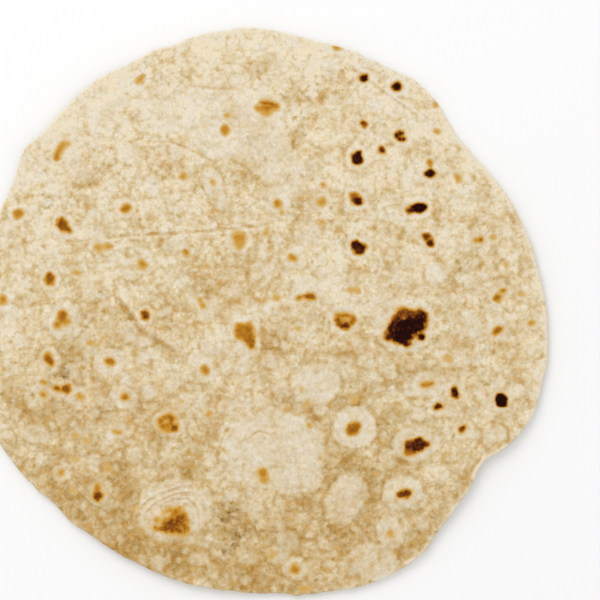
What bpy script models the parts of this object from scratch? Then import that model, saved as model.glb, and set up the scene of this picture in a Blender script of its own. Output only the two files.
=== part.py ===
"""Chapati: one soft, thin, unleavened wheat flatbread, rolled out by hand.

It is one closed solid lying flat, +Z up, with its underside on z = 0:
  - an uneven, nearly round outline with one flatter side and a small tuck,
  - a crumb about two millimetres thick with a rounded, slightly lifted rim,
  - low domes where the dough blistered on the griddle.
Sizes below are in millimetres; the mesh is made in metres.
"""
import math

import bmesh
import bpy

# ------------------------------------------------------------ driving sizes
MM = 0.001
MEAN_RADIUS = 99.8        # of the rolled round
CRUMB = 1.95              # plain thickness of the bread
EDGE_THINNING = 0.26      # share of the thickness lost at the very rim
EDGE_ZONE = 0.90          # share of the radius where the thinning starts
RIM_ROUND = 0.75          # reach of the rounded rim beyond the flat skins
FLAT_ZONE = 0.64          # share of the radius whose underside lies flat
RIM_LIFT = 0.45           # least height of the rim's underside above the rest plane

# slow waves of the outline: turns per round, amplitude, direction in degrees
OUTLINE_WAVES = (
    (1, 1.9, 175), (2, 1.0, -100), (3, 1.35, -45),
    (4, 1.35, 44), (5, 1.25, -121), (6, 0.95, -60),
)
# local flats (-) and bulges (+): direction, half width clockwise, half width
# anticlockwise (degrees), reach. The first one is the tuck at the lower right.
OUTLINE_LOCAL = (
    (325, 7, 5, -4.5), (300.5, 14.5, 7, 4.3), (42, 13.5, 8.5, -5.0),
    (146, 3.5, 6, 3.0), (274.5, 13, 1.5, -1.5), (338.5, 3, 7, 1.0),
    (203.5, 16, 13, 2.9), (112, 15, 16, -6.3),
)
# places where the rim curls up: direction, half width (degrees), extra height
RIM_CURLS = (
    (322, 22, 2.3), (12, 24, 1.2), (72, 18, 0.5), (138, 22, 1.7),
    (192, 20, 0.8), (247, 24, 1.9), (285, 9, 0.4),
)
# unevenness of the rolled dough: wavelength, direction (degrees), phase, amplitude
DOUGH_WAVES = (
    (64, 24, 0.5, 0.13), (47, -38, 2.1, 0.11), (35, 81, 4.4, 0.09),
    (26, -66, 1.2, 0.08), (20, 8, 3.3, 0.06),
)
# blisters: centre x, centre y, long radius, short radius, turn (degrees), height
BLISTERS = (
    (-32.5, -72.5, 15.5, 14, 20, 1.15),     # the large one near the lower rim
    (4.5, -52, 24, 19, 70, 0.85),
    (49.5, -5, 13, 11.5, 20, 0.75),
    (28.5, -66.5, 10.5, 8.5, 50, 0.75),
    (53, -47.5, 10.5, 8.5, 20, 0.7),
    (31.5, -41, 9.5, 9, 0, 0.65),
    (48.5, -64, 8.5, 7.5, 0, 0.5),
    (40, -87, 8, 6.5, 160, 0.45),
    (-7, -8, 9, 8, 120, 0.5),
    (-58.5, -64, 8.5, 7.5, 0, 0.5),
    (-34, -39, 9, 7.5, 0, 0.45),
    (-12, 62, 24, 17, 165, 0.6),
    (-71, -2.5, 8.5, 7.5, 60, 0.45),
    (-71, 30, 8, 7, 0, 0.4),
    (83, -31, 8.5, 7.5, 0, 0.45),
    (33, 54, 9, 8, 90, 0.45),
    (57, 27, 10, 8, 60, 0.45),
)

GRID = 42                 # cells across each skin
RIM_STEPS = 4             # strips round the rim between the two skins


# ------------------------------------------------------------ shape functions
def smooth(lo, hi, v):
    t = min(max((v - lo) / (hi - lo), 0.0), 1.0)
    return t * t * (3.0 - 2.0 * t)


def turn_from(theta, degrees):
    """Signed angle in degrees from a direction, within half a turn."""
    return (math.degrees(theta) - degrees + 180.0) % 360.0 - 180.0


def outline(theta):
    """Radius of the uneven round in a direction."""
    r = MEAN_RADIUS
    for turns, amplitude, direction in OUTLINE_WAVES:
        r += amplitude * math.cos(turns * theta - math.radians(direction))
    for direction, clockwise, anticlockwise, reach in OUTLINE_LOCAL:
        d = turn_from(theta, direction)
        r += reach * math.exp(-(d / (clockwise if d < 0.0 else anticlockwise)) ** 2)
    return r


def underside(theta, u):
    """Height of the underside: flat in the middle, curling up to the rim."""
    lift = RIM_LIFT
    for direction, width, height in RIM_CURLS:
        lift += height * math.exp(-(turn_from(theta, direction) / width) ** 2)
    rise = max((u - FLAT_ZONE) / (1.0 - FLAT_ZONE), 0.0)
    return lift * rise * rise * (1.4 - 0.4 * rise)


def thickness(x, y, u):
    """Local thickness of the crumb with its blisters."""
    t = CRUMB
    for wavelength, direction, phase, amplitude in DOUGH_WAVES:
        a = math.radians(direction)
        along = x * math.cos(a) + y * math.sin(a)
        t += amplitude * math.sin(2.0 * math.pi * along / wavelength + phase)
    for cx, cy, long_r, short_r, turn, height in BLISTERS:
        a = math.radians(turn)
        p = ((x - cx) * math.cos(a) + (y - cy) * math.sin(a)) / long_r
        q = (-(x - cx) * math.sin(a) + (y - cy) * math.cos(a)) / short_r
        t += height * max(1.0 - (p * p + q * q), 0.0) ** 2
    return t * (1.0 - EDGE_THINNING * smooth(EDGE_ZONE, 1.0, u))


# ------------------------------------------------------------ the solid
def to_disc(a, b):
    """Bend a point of the square from -1 to 1 into the unit disc."""
    if a == 0.0 and b == 0.0:
        return 0.0, 0.0
    if abs(a) >= abs(b):
        r, phi = a, math.pi / 4 * b / a
    else:
        r, phi = b, math.pi / 2 - math.pi / 4 * a / b
    return abs(r), math.atan2(r * math.sin(phi), r * math.cos(phi))


def add_skin(bm, is_top):
    """One skin: a square grid bent into the outline and set to its height."""
    new = bmesh.ops.create_grid(bm, x_segments=GRID, y_segments=GRID, size=1.0)
    for v in new["verts"]:
        u, theta = to_disc(round(v.co.x, 6), round(v.co.y, 6))
        r = (outline(theta) - RIM_ROUND) * u
        x, y = r * math.cos(theta), r * math.sin(theta)
        z = underside(theta, u) + (thickness(x, y, u) if is_top else 0.0)
        v.co = (x, y, z)
    if not is_top:
        faces = {f for v in new["verts"] for f in v.link_faces}
        bmesh.ops.reverse_faces(bm, faces=list(faces))


def round_rim(bm, edges):
    """Carry the top skin's border round the rim and down to the underside."""
    for step in range(1, RIM_STEPS + 1):
        phi = math.pi * step / RIM_STEPS
        new = bmesh.ops.extrude_edge_only(bm, edges=edges)["geom"]
        for v in (g for g in new if isinstance(g, bmesh.types.BMVert)):
            theta = math.atan2(v.co.y, v.co.x)
            skin_r = outline(theta) - RIM_ROUND
            low = underside(theta, 1.0)
            t = thickness(skin_r * math.cos(theta), skin_r * math.sin(theta), 1.0)
            r = skin_r + RIM_ROUND * math.sin(phi)
            v.co = (r * math.cos(theta), r * math.sin(theta),
                    low + 0.5 * t * (1.0 + math.cos(phi)))
        edges = [g for g in new if isinstance(g, bmesh.types.BMEdge)]


def build_bread():
    bm = bmesh.new()
    add_skin(bm, True)
    border = [e for e in bm.edges if e.is_boundary]
    round_rim(bm, border)
    add_skin(bm, False)
    bmesh.ops.remove_doubles(bm, verts=bm.verts, dist=0.001)
    bmesh.ops.triangulate(bm, faces=bm.faces)
    bmesh.ops.recalc_face_normals(bm, faces=bm.faces)

    # centre the outline on the origin and rest it on z = 0
    xs, ys, zs = zip(*(v.co for v in bm.verts))
    shift = (-0.5 * (min(xs) + max(xs)), -0.5 * (min(ys) + max(ys)), -min(zs))
    bmesh.ops.translate(bm, verts=bm.verts, vec=shift)
    bmesh.ops.scale(bm, verts=bm.verts, vec=(MM, MM, MM))

    mesh = bpy.data.meshes.new("chapati")
    bm.to_mesh(mesh)
    bm.free()
    mesh.shade_smooth()
    return mesh


def material(name, colour, roughness, metallic):
    mat = bpy.data.materials.new(name)
    mat.use_nodes = True
    shader = mat.node_tree.nodes["Principled BSDF"]
    shader.inputs["Base Color"].default_value = (*colour, 1.0)
    shader.inputs["Roughness"].default_value = roughness
    shader.inputs["Metallic"].default_value = metallic
    mat.diffuse_color = (*colour, 1.0)
    return mat


def main():
    for old in list(bpy.data.objects):
        bpy.data.objects.remove(old, do_unlink=True)
    bread = bpy.data.objects.new("chapati", build_bread())
    bpy.context.scene.collection.objects.link(bread)
    bread.data.materials.append(material("wheat_crust", (0.71, 0.58, 0.37), 0.85, 0.0))


main()
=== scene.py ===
"""Looks of a chapati: a fine mesh of the same shape as the CAD solid, with the
relief of a griddled flatbread and one procedural crust material.

Lengths in the tables are millimetres, in a frame centred on the rolled round;
the whole bread is then moved so that its outline's box is centred, as in the CAD.
"""

import math

import bpy
import numpy as np
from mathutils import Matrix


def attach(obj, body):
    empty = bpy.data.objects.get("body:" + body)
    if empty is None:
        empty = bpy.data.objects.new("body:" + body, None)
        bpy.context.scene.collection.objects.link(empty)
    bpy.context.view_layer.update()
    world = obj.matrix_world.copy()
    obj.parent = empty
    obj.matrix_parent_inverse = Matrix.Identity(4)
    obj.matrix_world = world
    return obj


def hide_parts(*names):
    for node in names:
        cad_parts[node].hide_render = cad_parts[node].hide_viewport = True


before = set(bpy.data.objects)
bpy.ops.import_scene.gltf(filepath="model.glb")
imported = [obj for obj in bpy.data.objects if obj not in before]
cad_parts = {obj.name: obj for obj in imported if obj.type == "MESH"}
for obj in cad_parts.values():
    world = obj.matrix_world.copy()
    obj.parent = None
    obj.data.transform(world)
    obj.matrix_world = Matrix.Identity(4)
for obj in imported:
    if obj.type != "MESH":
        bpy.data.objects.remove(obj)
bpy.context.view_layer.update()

MM = 0.001

# ---------------------------------------------------------------- CAD's sizes
MEAN_RADIUS = 99.8
CRUMB = 1.95
EDGE_THINNING = 0.26
EDGE_ZONE = 0.90
RIM_ROUND = 0.75
FLAT_ZONE = 0.64
RIM_LIFT = 0.45
OUTLINE_WAVES = (
    (1, 1.9, 175), (2, 1.0, -100), (3, 1.35, -45),
    (4, 1.35, 44), (5, 1.25, -121), (6, 0.95, -60),
)
OUTLINE_LOCAL = (
    (325, 7, 5, -4.5), (300.5, 14.5, 7, 4.3), (42, 13.5, 8.5, -5.0),
    (146, 3.5, 6, 3.0), (274.5, 13, 1.5, -1.5), (338.5, 3, 7, 1.0),
    (203.5, 16, 13, 2.9), (112, 15, 16, -6.3),
)
RIM_CURLS = (
    (322, 22, 2.3), (12, 24, 1.2), (72, 18, 0.5), (138, 22, 1.7),
    (192, 20, 0.8), (247, 24, 1.9), (285, 9, 0.4),
)
DOUGH_WAVES = (
    (64, 24, 0.5, 0.13), (47, -38, 2.1, 0.11), (35, 81, 4.4, 0.09),
    (26, -66, 1.2, 0.08), (20, 8, 3.3, 0.06),
)
BLISTERS = (
    (-32.5, -72.5, 15.5, 14, 20, 1.15), (4.5, -52, 24, 19, 70, 0.85),
    (49.5, -5, 13, 11.5, 20, 0.75), (28.5, -66.5, 10.5, 8.5, 50, 0.75),
    (53, -47.5, 10.5, 8.5, 20, 0.7), (31.5, -41, 9.5, 9, 0, 0.65),
    (48.5, -64, 8.5, 7.5, 0, 0.5), (40, -87, 8, 6.5, 160, 0.45),
    (-7, -8, 9, 8, 120, 0.5), (-58.5, -64, 8.5, 7.5, 0, 0.5),
    (-34, -39, 9, 7.5, 0, 0.45), (-12, 62, 24, 17, 165, 0.6),
    (-71, -2.5, 8.5, 7.5, 60, 0.45), (-71, 30, 8, 7, 0, 0.4),
    (83, -31, 8.5, 7.5, 0, 0.45), (33, 54, 9, 8, 90, 0.45),
    (57, 27, 10, 8, 60, 0.45),
)

# ---------------------------------------------------------------- looks' sizes
TOP_CELLS = 256           # cells across the top skin
UNDER_CELLS = 128         # cells across the underside
RIM_STRIPS = 5            # strips round the rim
SPOT_TRIM = 0.13          # browned spots are drawn this much smaller
HALO_TAN, HALO_COVER = 0.15, 0.80
SLOPE = 0.0028            # the skin is tanner towards one side, per mm

# Browned spots: x, y, half length, half width, turn (degrees), darkness 0 to 1,
# extra mottling. Spots that touch are the lobes of one uneven mark.
SPOTS = (
    # the large char mark: dark core, brown shoulders, a lighter top
    (50.6, -5.4, 5.6, 4.0, 8, 1.02, 0.5), (48.8, -8.6, 4.4, 2.8, 8, 1.02, 0.3),
    (54.6, -4.2, 2.4, 3.6, 12, 1.0, 0.4), (45.8, -5.4, 3.4, 2.6, 60, 0.88, 0.3),
    (44.2, -8.6, 2.3, 2.0, 20, 0.84, 0.1), (46.4, -2.6, 2.8, 2.0, 50, 0.78, 0.3),
    (50.4, -0.6, 4.6, 2.1, -8, 0.70, 0.3), (55.7, -1.6, 1.9, 2.7, 10, 0.88, 0.2),
    (54.2, -0.2, 2.0, 1.4, 0, 0.50, 0.2), (55.2, -8.9, 1.8, 1.7, 0, 1.0, 0),
    (49.6, -11.0, 2.4, 1.5, -20, 0.94, 0.1), (57.0, -4.4, 1.0, 1.8, 0, 0.7, 0),
    # the golden mark in the large blister
    (-32.0, -74.4, 5.0, 3.1, 22, 0.635, 0.6), (-29.0, -72.9, 2.5, 3.8, 10, 0.60, 0.7),
    (-27.9, -76.2, 1.9, 2.9, 15, 0.53, 0.8), (-31.0, -77.0, 3.6, 1.9, -10, 0.57, 0.6),
    (-36.8, -76.0, 2.1, 1.5, 10, 0.60, 0.3), (-30.8, -71.0, 2.3, 1.8, 0, 0.54, 0.8),
    (-32.0, -69.5, 3.7, 1.4, 0, 0.40, 0.9), (-37.0, -72.8, 1.2, 1.1, 0, 0.38, 0.3),
    (-34.6, -73.0, 1.6, 1.3, 30, 0.30, 0.6),
    # wedge near the middle
    (-6.9, -7.0, 3.7, 2.7, 10, 0.50, 0.2), (-4.8, -10.4, 3.5, 1.9, 110, 0.55, 0.1),
    (-5.3, -5.7, 2.1, 1.9, 0, 0.48, 0.2), (-5.7, -8.7, 2.7, 2.6, 0, 0.50, 0.2),
    (-8.4, -5.5, 1.9, 1.5, 0, 0.44, 0.2),
    (53.5, -46.8, 4.3, 2.6, 8, 0.80, 0.1), (54.9, -46.7, 2.6, 1.9, 10, 0.91, 0),
    (57.3, -46.4, 1.6, 1.2, 0, 0.72, 0), (51.4, -49.3, 2.4, 1.4, 10, 0.48, 0),
    (51.4, -45.9, 1.8, 1.4, 0, 0.70, 0),
    # broken ring
    (27.7, -1.1, 2.9, 1.1, 0, 0.53, 0.2), (26.5, -3.2, 1.8, 2.2, 0, 0.64, 0.2),
    (28.7, -4.9, 2.3, 1.6, 10, 0.79, 0.2), (31.1, -3.1, 1.4, 1.7, 0, 0.62, 0.2),
    (30.0, -1.5, 1.4, 1.0, -30, 0.50, 0),
    (-36.4, -38.6, 1.5, 1.9, 0, 0.54, 0.2), (-34.0, -37.0, 2.9, 1.4, 8, 0.56, 0.2),
    (-32.4, -38.2, 1.3, 2.0, 0, 0.58, 0.2), (-34.6, -40.3, 2.5, 1.2, 0, 0.48, 0.2),
    (-31.5, -40.6, 2.0, 1.7, -20, 0.66, 0.2), (-34.2, -41.7, 2.1, 1.1, 0, 0.28, 0.2),
    (0.9, 71.7, 3.0, 2.0, 0, 0.46, 0.3), (2.0, 73.5, 2.7, 1.0, -18, 0.54, 0.1),
    (4.1, 72.3, 1.6, 1.3, 0, 0.48, 0.2), (-0.1, 73.9, 1.3, 1.1, 0, 0.50, 0.1),
    (0.9, 69.9, 1.5, 1.1, 0, 0.37, 0.3), (-1.8, 71.7, 1.4, 1.2, 0, 0.37, 0.2),
    (54.6, 36.6, 3.0, 2.1, 8, 1.05, 0), (51.6, 35.9, 1.9, 1.7, 20, 0.80, 0),
    (-70.6, -1.5, 2.6, 2.0, 85, 0.54, 0), (-72.7, -4.6, 1.8, 1.4, 20, 0.44, 0),
    (-69.2, -3.6, 1.6, 1.3, 90, 0.40, 0),
    (33.2, 23.1, 3.0, 2.1, 175, 0.88, 0), (33.3, 21.3, 1.7, 1.4, 0, 0.84, 0),
    (83.4, -31.2, 3.0, 2.4, 103, 1.06, 0),
    (31.7, -40.8, 3.1, 2.6, 35, 0.56, 0),
    (58.6, 48.5, 2.2, 1.9, 0, 0.96, 0), (58.4, 52.2, 1.8, 1.1, 95, 0.46, 0),
    (-70.8, 30.8, 2.6, 2.0, 115, 0.66, 0), (-69.2, 28.8, 2.0, 1.4, 150, 0.62, 0),
    (32.8, 54.2, 3.0, 2.3, 79, 0.93, 0),
    (-72.6, 55.0, 2.0, 1.4, 60, 0.46, 0), (-71.2, 57.3, 2.1, 1.3, 60, 0.41, 0),
    (-69.5, 59.0, 1.9, 1.1, 20, 0.34, 0),
    (-58.4, -64.6, 2.2, 2.1, 0, 0.74, 0), (-58.4, -61.7, 1.5, 1.5, 0, 0.45, 0),
    (32.9, 39.0, 2.1, 1.9, 0, 0.87, 0), (31.7, 40.9, 1.7, 1.6, 0, 0.56, 0),
    (-8.9, 26.4, 2.5, 2.1, 0, 0.38, 0.2), (-8.7, 24.4, 2.4, 2.2, 90, 0.28, 0.2),
    (67.1, -28.4, 2.8, 1.8, 92, 0.88, 0),
    (48.1, 63.2, 1.7, 1.1, 0, 0.80, 0), (46.9, 62.1, 1.3, 1.4, 0, 0.84, 0),
    (48.4, 60.8, 1.9, 1.1, -20, 0.92, 0),
    (57.2, 26.3, 1.7, 1.5, 0, 0.76, 0), (58.6, 24.4, 1.6, 1.5, 0, 0.84, 0),
    (49.4, -64.0, 2.9, 1.8, 12, 0.74, 0),
    (46.6, 79.3, 2.35, 2.15, 0, 1.02, 0),
    (16.0, 5.2, 2.5, 1.6, 0, 0.60, 0), (12.4, 4.8, 1.6, 1.3, 0, 0.44, 0),
    (-75.4, 11.6, 2.6, 1.7, 80, 0.60, 0),
    (-75.7, -16.9, 2.8, 1.7, 105, 0.59, 0),
    (-0.5, -56.6, 1.8, 1.8, 0, 0.44, 0), (0.0, -58.9, 1.7, 1.5, 0, 0.32, 0),
    (-72.9, -27.1, 1.9, 1.5, 0, 0.60, 0), (-69.7, -27.0, 1.9, 1.7, 0, 0.62, 0),
    (-86.2, 34.4, 2.1, 1.9, 0, 0.47, 0),
    (82.4, 4.9, 1.6, 1.5, 0, 0.58, 0), (84.2, 7.1, 1.6, 1.4, 0, 0.60, 0),
    (-41.7, -1.4, 2.1, 1.8, 95, 0.70, 0),
    (-48.9, 36.5, 2.2, 1.8, 30, 0.50, 0),
    (35.0, 82.4, 2.0, 1.7, 170, 0.95, 0),
    (-13.6, 63.8, 2.1, 1.8, 155, 0.42, 0),
    (-54.2, -17.8, 2.1, 1.8, 145, 0.49, 0),
    (61.5, -33.3, 2.1, 1.6, 5, 0.86, 0),
    (82.2, -6.7, 2.2, 1.6, 45, 0.56, 0),
    (10.9, -90.4, 1.9, 1.8, 0, 0.43, 0),
    (76.2, 25.2, 1.5, 1.4, 0, 0.56, 0), (74.2, 25.1, 1.3, 0.9, 0, 0.44, 0),
    (-20.7, -20.5, 1.9, 1.6, 130, 0.46, 0),
    (-58.6, 22.4, 1.6, 1.2, 0, 0.34, 0), (-55.2, 22.9, 1.9, 1.1, 5, 0.34, 0),
    (-42.8, 16.8, 2.1, 1.5, 120, 0.38, 0),
    (57.3, -25.7, 2.3, 1.3, 15, 0.42, 0), (59.2, -25.2, 1.3, 0.9, 0, 0.48, 0),
    (70.0, -41.3, 1.8, 1.5, 60, 0.74, 0),
    (4.8, 37.9, 1.7, 1.5, 90, 0.43, 0), (6.4, 34.8, 1.0, 0.9, 0, 0.34, 0),
    (20.5, 38.7, 1.7, 1.5, 0, 0.36, 0),
    (68.4, 46.9, 1.9, 1.3, 110, 0.31, 0),
    (41.2, 56.7, 1.7, 1.4, 130, 0.82, 0),
    (10.0, 19.0, 1.7, 1.5, 0, 0.41, 0),
    (-49.2, -30.1, 1.8, 1.4, 170, 0.51, 0),
    (-92.1, 4.4, 1.8, 1.6, 0, 0.40, 0),
    (26.2, 93.2, 2.1, 1.0, 168, 0.40, 0),
    (-27.5, 20.8, 1.6, 1.4, 120, 0.51, 0),
    (-21.3, 2.2, 1.4, 1.2, 120, 0.46, 0), (-22.7, 3.8, 1.2, 0.9, 120, 0.36, 0),
    (35.2, 66.0, 1.5, 1.3, 160, 0.76, 0),
    (44.6, -78.0, 1.7, 1.2, 90, 0.30, 0),
    (4.5, 5.2, 1.5, 1.2, 0, 0.29, 0),
    (-77.6, -25.1, 1.9, 1.0, 160, 0.50, 0), (-77.6, -29.2, 1.8, 1.0, 135, 0.40, 0),
    (-71.2, -56.8, 1.5, 1.2, 50, 0.37, 0),
    (40.6, 88.5, 1.6, 1.0, 170, 0.50, 0),
    (61.0, 63.5, 1.5, 1.0, 10, 0.40, 0),
    (94.3, -4.2, 1.3, 1.2, 0, 0.44, 0),
    (-13.0, 68.8, 1.2, 1.2, 0, 0.26, 0),
    (-17.8, 45.4, 1.2, 1.0, 115, 0.26, 0),
    (-51.7, -42.2, 1.7, 0.9, 170, 0.34, 0),
    (-19.2, -35.9, 1.2, 1.1, 0, 0.40, 0),
    (-62.3, -45.2, 1.3, 0.9, 95, 0.31, 0), (-66.1, -43.8, 1.3, 0.8, 5, 0.31, 0),
    (90.5, -20.6, 1.0, 0.8, 0, 0.24, 0),
    (-3.3, -24.1, 0.6, 0.6, 0, 0.70, 0),
    (14.2, -97.6, 2.4, 1.2, 176, 0.22, 0),
)

# Tops of blisters, smooth and paler: x, y, half length, half width, turn,
# cover 0 to 1, tan left on them 0 to 1, softness of the edge
PALE = (
    (-31.4, -69.5, 13.0, 10.4, 10, 0.80, 0.24, 1.4), (2.5, -48.5, 17.5, 14.0, 15, 0.88, 0.20, 1.7),
    (12.0, -58.0, 9.0, 6.5, 20, 0.75, 0.18, 1.3), (28.5, -66.5, 8.8, 6.6, 50, 0.85, 0.25, 0.9),
    (31.8, -40.9, 7.8, 7.5, 0, 0.95, 0.14, 0.5), (53.2, -46.6, 8.2, 5.6, 15, 0.84, 0.21, 0.5),
    (48.8, -63.7, 7.0, 6.0, 0, 0.84, 0.19, 0.5), (44.7, -77.2, 4.4, 5.8, 0, 0.80, 0.19, 0.6),
    (39.0, -87.6, 8.0, 6.0, 170, 0.80, 0.22, 1.0), (49.8, -4.2, 10.4, 10.2, 20, 0.80, 0.16, 0.7),
    (14.6, 9.0, 4.2, 3.6, 0, 0.70, 0.14, 0.8), (24.5, 12.0, 5.0, 4.0, 40, 0.55, 0.17, 0.9),
    (3.5, -2.0, 5.0, 5.4, 20, 0.50, 0.20, 1.0), (18.0, -25.0, 8.6, 7.6, 20, 0.85, 0.17, 0.9),
    (27.0, -20.0, 5.0, 4.0, 0, 0.60, 0.18, 0.8), (-13.0, 67.0, 16.0, 13.0, 160, 0.72, 0.18, 1.6),
    (2.0, 56.0, 11.0, 8.0, 130, 0.70, 0.19, 1.2), (4.5, 41.5, 7.0, 5.0, 20, 0.60, 0.16, 1.0),
    (-54.2, -17.9, 5.4, 4.8, 0, 0.85, 0.18, 0.5), (-49.0, -30.3, 4.8, 3.6, 0, 0.80, 0.19, 0.5),
    (-71.3, -2.5, 6.8, 6.2, 60, 0.70, 0.18, 0.7), (-75.7, -16.9, 3.8, 4.4, 0, 0.80, 0.20, 0.6),
    (-75.3, 11.6, 3.0, 3.6, 0, 0.75, 0.19, 0.6), (-70.2, 30.0, 4.0, 4.0, 0, 0.60, 0.17, 0.7),
    (-86.0, 34.4, 3.8, 3.6, 0, 0.60, 0.14, 0.7), (-48.9, 36.5, 3.4, 3.0, 0, 0.65, 0.17, 0.6),
    (-41.5, -1.4, 2.8, 2.8, 0, 0.75, 0.19, 0.5), (-20.7, -20.4, 3.8, 3.8, 0, 0.85, 0.17, 0.5),
    (-42.8, 16.6, 3.4, 3.2, 120, 0.75, 0.18, 0.5), (-27.5, 20.8, 2.7, 2.7, 0, 0.75, 0.18, 0.5),
    (-6.8, -8.4, 6.2, 7.2, 20, 0.75, 0.18, 0.6), (-8.8, 25.4, 4.6, 4.6, 0, 0.60, 0.17, 0.8),
    (10.0, 19.0, 3.9, 3.5, 0, 0.80, 0.16, 0.5), (4.9, 37.2, 4.0, 3.6, 0, 0.75, 0.16, 0.5),
    (20.5, 38.8, 3.4, 3.0, 0, 0.65, 0.17, 0.6), (-18.5, 46.0, 3.2, 4.6, 20, 0.80, 0.16, 0.5),
    (82.2, -6.7, 4.4, 4.0, 0, 0.80, 0.18, 0.5), (83.3, 6.0, 4.2, 3.4, 45, 0.65, 0.18, 0.7),
    (57.3, -25.8, 8.0, 4.2, 10, 0.70, 0.19, 0.8), (70.0, -41.3, 3.5, 3.3, 0, 0.75, 0.18, 0.5),
    (80.6, -42.8, 3.9, 3.4, 0, 0.84, 0.14, 0.6), (-58.5, -63.8, 4.8, 3.7, 0, 0.58, 0.28, 0.7),
    (-71.3, -56.8, 3.2, 2.8, 0, 0.65, 0.23, 0.6), (-80.0, -43.0, 4.6, 3.0, 170, 0.65, 0.18, 0.7),
    (-51.5, -42.2, 3.6, 2.8, 0, 0.60, 0.21, 0.7), (10.9, -90.2, 4.4, 3.6, 0, 0.80, 0.22, 0.6),
    (-33.5, -39.4, 5.0, 4.6, 0, 0.55, 0.21, 0.8), (60.5, 13.5, 3.6, 3.8, 0, 0.80, 0.16, 0.5),
    (75.5, 25.0, 5.0, 3.8, 0, 0.70, 0.16, 0.7), (33.0, 39.8, 3.8, 4.0, 0, 0.50, 0.16, 0.8),
    (33.0, 54.4, 4.2, 4.4, 0, 0.50, 0.14, 0.8), (46.6, 79.4, 3.4, 3.2, 0, 0.45, 0.14, 0.8),
    (33.2, 22.6, 4.8, 3.8, 0, 0.55, 0.17, 0.8), (58.0, 25.2, 3.8, 4.2, 60, 0.55, 0.17, 0.8),
    (54.0, 36.6, 4.8, 3.6, 10, 0.55, 0.16, 0.8), (60.0, 50.0, 4.6, 5.2, 90, 0.45, 0.15, 0.9),
    (-71.0, 56.8, 4.6, 3.4, 45, 0.50, 0.12, 0.9), (16.0, 28.0, 5.6, 4.2, 10, 0.50, 0.17, 0.9),
    (-26.0, -32.0, 5.6, 4.2, 20, 0.40, 0.20, 1.0), (-2.0, -33.5, 5.0, 4.0, 0, 0.60, 0.19, 0.9),
    (-13.5, -33.0, 2.6, 2.4, 0, 0.70, 0.17, 0.5), (12.5, -39.0, 3.0, 2.6, 0, 0.60, 0.17, 0.6),
    (-82.0, 50.0, 6.4, 4.2, 60, 0.55, 0.08, 1.2), (-55.5, 70.0, 8.0, 5.0, 45, 0.45, 0.08, 1.2), (-33.0, 67.0, 7.0, 5.0, 10, 0.65, 0.12, 1.1),
    (-38.0, 74.5, 6.0, 4.0, 20, 0.50, 0.10, 1.1), (-45.5, 55.0, 3.4, 2.8, 0, 0.60, 0.15, 0.7),
    (-30.0, 38.0, 3.6, 3.0, 30, 0.50, 0.17, 0.8), (-12.0, 7.0, 3.4, 3.0, 0, 0.60, 0.17, 0.7),
    (47.0, 34.0, 3.2, 2.6, 0, 0.50, 0.16, 0.7), (71.5, 11.5, 3.6, 3.0, 0, 0.55, 0.16, 0.8),
    (71.5, 24.0, 2.8, 2.6, 0, 0.45, 0.16, 0.7), (-42.0, -15.5, 3.2, 2.4, 30, 0.55, 0.19, 0.6),
    (-23.5, -16.5, 3.0, 2.4, 0, 0.60, 0.18, 0.6), (54.0, -66.6, 3.4, 2.8, 0, 0.62, 0.22, 0.8),
    (-23.0, -86.5, 3.0, 2.4, 0, 0.60, 0.24, 0.7), (-6.0, -86.5, 3.2, 2.6, 0, 0.60, 0.24, 0.7),
    (60.5, -57.0, 4.4, 3.2, 30, 0.50, 0.19, 0.9), (36.0, -17.0, 3.0, 2.6, 0, 0.60, 0.18, 0.6),
)

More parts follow.
